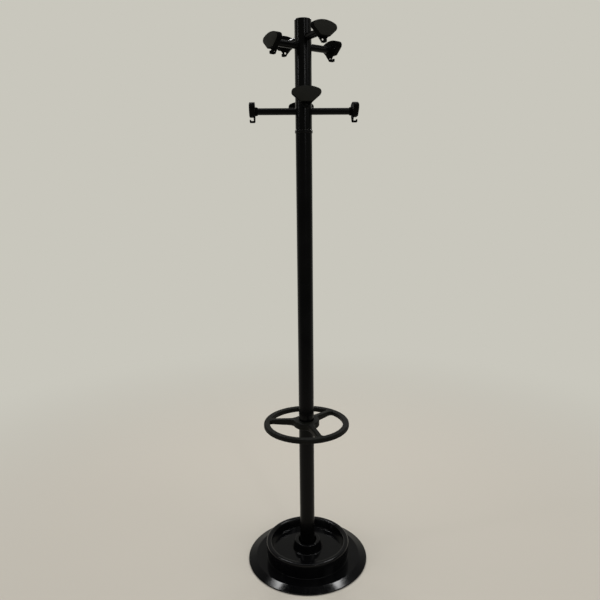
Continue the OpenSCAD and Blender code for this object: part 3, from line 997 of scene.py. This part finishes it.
    def tongue(self) -> Surface:
        """The small hook's tongue and lip, a bent profile with rounded edges.

        It is a little wider than the stem's foot, so that no two walls share a plane.

        Returns:
            The closed surface.
        """
        back, face = -self.stem_proud, self.fan_t - self.tongue_back
        foot, floor = -self.drop, self.tongue_t - self.drop
        inner, lip = face - self.lip_t, floor + self.lip_rise
        profile = rounded([(back, foot, self.heel_r), (face, foot, 3), (face, lip, 1.4),
                           (inner, lip, 1.4), (inner, floor, 1.8), (back, floor, 0.5)])
        return plate([Rim(profile, self.tongue_edge)], self.tongue_w + self.tongue_spare,
                     axis=Axis.Y)

    def face(self, obj: Object) -> Array:
        """Which faces of a hook in its own frame make the fan's crowned face.

        They lie further out than a point two thirds round the face's rounding and look along +X.

        Args:
            obj: The hook.

        Returns:
            One truth value a face.
        """
        x, _, z = read(obj.data.polygons, "center").T / MM
        facing = read(obj.data.polygons, "normal")[:, 0]
        start = self.fan_t - self.face_edge * (1 - math.sin(math.radians(self.grain_from)))
        return (x > start) & (facing > self.grain_facing) & (z > -self.fan_foot)

    def build(self) -> Object:
        """Makes one hook in its own frame, as one closed mesh with the arm's bore.

        Returns:
            The hook.
        """
        bore_r, start, end = self.arm_r + self.bore_gap, self.bore_start, self.socket_depth
        bore = rounded([(0.0, start, 0), (bore_r, start, 0), (bore_r, end, 0), (0.0, end, 0)])
        return combined("hook_pattern", self.fan(), [self.socket(), self.stem(), self.tongue()],
                        [revolved(bore, segments=96, axis=Axis.X)])


@dataclass(frozen=True)
class Arm:
    """One straight arm through the head, with a hook on each end."""

    node: str
    turn: float
    reach: float
    hooks: tuple[str, str]

    def level(self) -> float:
        """How high its axis lies."""
        return sum(span(self.node)) / 2


@dataclass
class Head:
    """The turning head's cap, arms and hooks, and the collar that it turns on.

    The head's own tube is the CAD's, with its finish in CAD_FINISHES.
    """

    hook: Hook = field(default_factory=Hook)
    arm_wall: float = 1.5
    arm_gap: float = 0.2
    pole_r: float = 25.0
    bore_r: float = 23.5
    collar_r: float = 27.0
    collar_h: float = 9.0
    plug: float = 25.0
    spigot_r: float = 16.0
    screw_r: float = 4.0
    cap_h: float = 4.0
    cap_wall: float = 2.0
    cap_roof: float = 1.0
    arms: tuple[Arm, ...] = (
        Arm("lower_side_arm", 3, 163.5, ("lower_hook_right", "lower_hook_left")),
        Arm("lower_front_arm", 93, 163.5, ("lower_hook_rear", "lower_hook_front")),
        Arm("upper_left_arm", 34, 114.5, ("upper_hook_rear_right", "upper_hook_front_left")),
        Arm("upper_right_arm", 124, 114.5, ("upper_hook_rear_left", "upper_hook_front_right")),
    )

    def fan_back(self, arm: Arm) -> float:
        """How far from the pole's axis the back of a fan lies."""
        return arm.reach - self.hook.fan_t - self.hook.crown

    def arm(self, arm: Arm) -> None:
        """Makes an arm's straight tube, turned to its direction.

        Args:
            arm: The arm.
        """
        r, inner = self.hook.arm_r, self.hook.arm_r - self.arm_wall
        half = self.fan_back(arm) + self.hook.socket_depth - self.arm_gap
        section = rounded([(r, -half, 0.4), (r, half, 0.4), (inner, half, 0.3),
                           (inner, -half, 0.3)], steps=4)
        surface = revolved(section, segments=64, axis=Axis.X)
        surface = surface.moved(turn_z(arm.turn), (0, 0, arm.level()))
        settle(mesh_object(f"{arm.node}_painted", surface), POWDER_COAT, Body.HEAD, arm.node)

    def hooks(self, arm: Arm, pattern: Object) -> None:
        """Makes the two hooks of an arm, half a turn apart.

        Args:
            arm: The arm.
            pattern: A hook in its own frame.
        """
        for node, half_turn in zip(arm.hooks, (0, 180)):
            turn = turn_z(arm.turn + half_turn)
            place = turn @ (self.fan_back(arm), 0, 0) + (0, 0, arm.level())
            piece = placed_copy(pattern, f"{node}_moulding", turn, place)
            settle(piece, BLACK_NYLON, Body.HEAD, node)
            GRAINED_NYLON.dress_part(piece, self.hook.face(pattern))

    def collar(self) -> None:
        """Makes the proud collar between the pole and the head, with its plug and spigot."""
        z0, z1 = span("swivel_collar")
        seat = z0 + self.plug
        top = seat + self.collar_h
        section = rounded([
            (0, z0, 0), (self.bore_r, z0, 1), (self.bore_r, seat, 0.3), (self.collar_r, seat, 1.4),
            (self.collar_r, top, 1.4), (self.spigot_r, top, 0.3), (self.spigot_r, z1, 0.5),
            (self.screw_r, z1, 0.3), (self.screw_r, seat, 0.3), (0, seat, 0)])
        piece = mesh_object("swivel_collar_moulding", revolved(section))
        settle(piece, SMOOTH_NYLON, Body.STAND, "swivel_collar")

    def cap(self) -> None:
        """Makes the cap: a thin rim on the tube, with a plug inside it."""
        z0, z1 = span("top_cap")
        rim, inner = z1 - self.cap_h, self.bore_r - self.cap_wall
        roof = rim + self.cap_roof
        section = rounded([(0, roof, 0), (inner, roof, 0.3), (inner, z0, 0.3),
                           (self.bore_r, z0, 0.8), (self.bore_r, rim, 0.3),
                           (self.pole_r, rim, 0.4), (self.pole_r, z1, 1.6), (0, z1, 0)])
        piece = mesh_object("top_cap_moulding", revolved(section))
        settle(piece, SMOOTH_NYLON, Body.HEAD, "top_cap")

    def build(self) -> None:
        """Makes every piece of the head."""
        pattern = self.hook.build()
        for arm in self.arms:
            self.arm(arm)
            self.hooks(arm, pattern)
        bpy.data.objects.remove(pattern)
        self.collar()
        self.cap()


# ---- Studio ----


@dataclass(frozen=True)
class Softbox:
    """A soft white lamp that faces a point, with its size in metres and its power in watts."""

    name: str
    place: Triple
    target: Triple
    width: float
    height: float
    power: float

    def build(self) -> None:
        """Makes the lamp."""
        light = bpy.data.lights.new(self.name, "AREA")
        light.shape = "RECTANGLE"
        light.size, light.size_y = self.width, self.height
        light.energy = self.power
        obj = linked(self.name, light)
        obj.location = self.place
        aim = Vector(self.target) - Vector(self.place)
        obj.rotation_euler = aim.to_track_quat("-Z", "Y").to_euler()


@dataclass
class Studio:
    """Plain pale floor, soft lamps, and the camera at eye height in front of the stand.

    Its places and distances are in metres, and its angles in degrees.
    """

    eye: Triple = (0.0, -1.7906, 1.2760)
    pitch: float = 11.374
    yaw: float = -0.547
    roll: float = -0.628
    lens: float = 34.217
    sensor: float = 36.0
    clip_end: float = 50.0
    backdrop: str = "#c9c7bd"
    front: str = "#74736e"
    front_turn: tuple[float, float] = (0.0, 0.75)
    wall: str = "#908f8b"
    dim: str = "#2c2c2c"
    room: str = "#b2b2b2"
    rises: Triple = (0.27, 0.56, 0.85)
    floor_colour: str = "#cfc9bd"
    floor_rings: tuple[float, ...] = (0.0, 0.3, 1.2, 5.0, 16.0)
    floor_fade: tuple[float, float] = (0.7, 2.6)
    stance: Triple = (0.0, -1.5, 0.6)
    lamps: tuple[Softbox, ...] = (
        Softbox("overhead", (0, -0.2, 4.2), (0, 0, 0), 4.0, 1.4, 40),
        Softbox("strip_left", (-4.55, -1.33, 2.6), (0, 0, 1.6), 0.33, 0.8, 12),
        Softbox("strip_front", (1.85, -4.68, 2.6), (0, 0, 1.6), 0.33, 0.8, 16),
        Softbox("broad_right", (2.9, -1.6, 2.7), (0, 0, 1.6), 1.6, 0.8, 7),
        Softbox("back_left", (-0.69, 1.48, 2.52), (0, 0, 0), 0.4, 0.4, 9.5),
        Softbox("back_right", (0.69, 1.48, 2.52), (0, 0, 0), 0.4, 0.4, 11),
    )

    def camera(self) -> None:
        """A level camera turned right by yaw, tipped down by pitch and rolled a little."""
        down, side, roll = (math.radians(a) for a in (self.pitch, self.yaw, self.roll))
        turn = (Matrix.Rotation(-side, 4, "Z") @ Matrix.Rotation(math.pi / 2 - down, 4, "X")
                @ Matrix.Rotation(roll, 4, "Z"))
        data = bpy.data.cameras.new("camera")
        data.lens, data.sensor_width, data.clip_end = self.lens, self.sensor, self.clip_end
        obj = linked("camera", data)
        obj.matrix_world = Matrix.Translation(self.eye) @ turn
        bpy.context.scene.camera = obj

    def floor(self) -> None:
        """A wide round floor, painted near the stand. Far off it turns into the backdrop.

        The share of the backdrop grows with the distance from the pole, and its tone follows the
        direction from a point above the floor, ahead of the stand. The backdrop's share lights
        nothing, and the paint keeps the stand's shadow.
        """
        rings = np.array(self.floor_rings)[:, None] / MM
        v = np.linspace(0, 2 * math.pi, 96, endpoint=False)
        points = np.stack([rings * np.cos(v), rings * np.sin(v), 0 * rings * v], axis=-1)
        floor = mesh_object("floor", grid(points))
        material = bpy.data.materials.new("painted_floor")
        tree = bare_tree(material)
        paint = add_node(tree, "BsdfDiffuse", {"Color": linear(self.floor_colour)})
        place = add_node(tree, "TexCoord").outputs["Object"]
        off = add_node(tree, "VectorMath", {1: self.stance}, {0: place}, operation="SUBTRACT")
        ahead = add_node(tree, "VectorMath", links={0: off}, operation="NORMALIZE")
        far = add_node(tree, "Emission", links={"Color": self.tone(tree, ahead)})
        distance = add_node(tree, "VectorMath", links={0: place}, operation="LENGTH")
        share = add_node(
            tree, "MapRange", {"From Min": self.floor_fade[0], "From Max": self.floor_fade[1]},
            {"Value": distance.outputs["Value"]}, interpolation_type="SMOOTHSTEP")
        factor = add_node(tree, "Math", None, {0: share, 1: self.seen(tree)},
                          operation="MULTIPLY")
        both = add_node(tree, "MixShader", links={0: factor, 1: paint, 2: far})
        add_node(tree, "OutputMaterial", links={"Surface": both})
        floor.data.materials.append(material)

    @staticmethod
    def seen(tree: Tree) -> bpy.types.Node:
        """1 on rays from the camera, a reflection or a clear piece, and 0 on all others.

        Args:
            tree: The node tree.

        Returns:
            The node that gives it.
        """
        path = add_node(tree, "LightPath").outputs
        straight = add_node(tree, "Math", operation="MAXIMUM",
                            links={0: path["Is Camera Ray"], 1: path["Is Transmission Ray"]})
        return add_node(tree, "Math", operation="MAXIMUM",
                        links={0: straight, 1: path["Is Glossy Ray"]})

    def tone(self, tree: Tree, ahead: Source) -> bpy.types.Node:
        """The backdrop's colour in a direction: pale behind the stand, duller in front of it.

        Args:
            tree: The node tree.
            ahead: The direction, as a unit vector.

        Returns:
            The node that gives the colour.
        """
        across = add_node(tree, "SeparateXYZ", links={"Vector": ahead}).outputs["Y"]
        share = add_node(
            tree, "MapRange", {"From Min": self.front_turn[0], "From Max": self.front_turn[1]},
            {"Value": across}, interpolation_type="SMOOTHSTEP")
        ramp = add_node(tree, "ValToRGB", links={"Fac": share})
        for element, colour in zip(ramp.color_ramp.elements, (self.front, self.backdrop)):
            element.color = linear(colour)
        return ramp

    def world(self) -> None:
        """A pale backdrop all round, with grey walls above it and a dim ceiling.

        The sine of elevation runs through self.rises from the backdrop to the walls and then to
        the ceiling. The camera, reflections and clear pieces all see this. It lights nothing:
        the other rays meet a plain room of one grey.
        """
        world = bpy.data.worlds.new("studio")
        tree = bare_tree(world)
        ahead = add_node(tree, "TexCoord").outputs["Generated"]
        height = add_node(tree, "SeparateXYZ", links={"Vector": ahead}).outputs["Z"]
        above = add_node(tree, "ValToRGB", links={"Fac": height})
        for element, position, colour in zip(above.color_ramp.elements, self.rises[1:],
                                             (self.wall, self.dim)):
            element.position, element.color = position, linear(colour)
        share = add_node(
            tree, "MapRange", {"From Min": self.rises[0], "From Max": self.rises[1]},
            {"Value": height}, interpolation_type="SMOOTHSTEP")
        low = add_node(tree, "Background", links={"Color": self.tone(tree, ahead)})
        high = add_node(tree, "Background", links={"Color": above})
        shown = add_node(tree, "MixShader", links={0: share, 1: low, 2: high})
        room = add_node(tree, "Background", {"Color": linear(self.room)})
        both = add_node(tree, "MixShader", links={0: self.seen(tree), 1: room, 2: shown})
        add_node(tree, "OutputWorld", links={"Surface": both})
        bpy.context.scene.world = world

    def build(self) -> None:
        """Makes the camera, the floor, the world and the lamps."""
        self.camera()
        self.floor()
        self.world()
        for lamp in self.lamps:
            lamp.build()
        bpy.context.scene.view_settings.view_transform = "Standard"


def main() -> None:
    """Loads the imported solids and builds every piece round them."""
    logging.basicConfig(level=logging.INFO, format="%(name)s: %(message)s")
    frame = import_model()
    Studio().build()
    Base().build()
    Pole().build()
    UmbrellaRing().build()
    Head().build()
    for node, finish in CAD_FINISHES.items():
        finish.dress(frame["nodes"][node])
        LOG.info("%s: CAD solid with %s", node, finish.name)


if __name__ == "__main__":
    main()
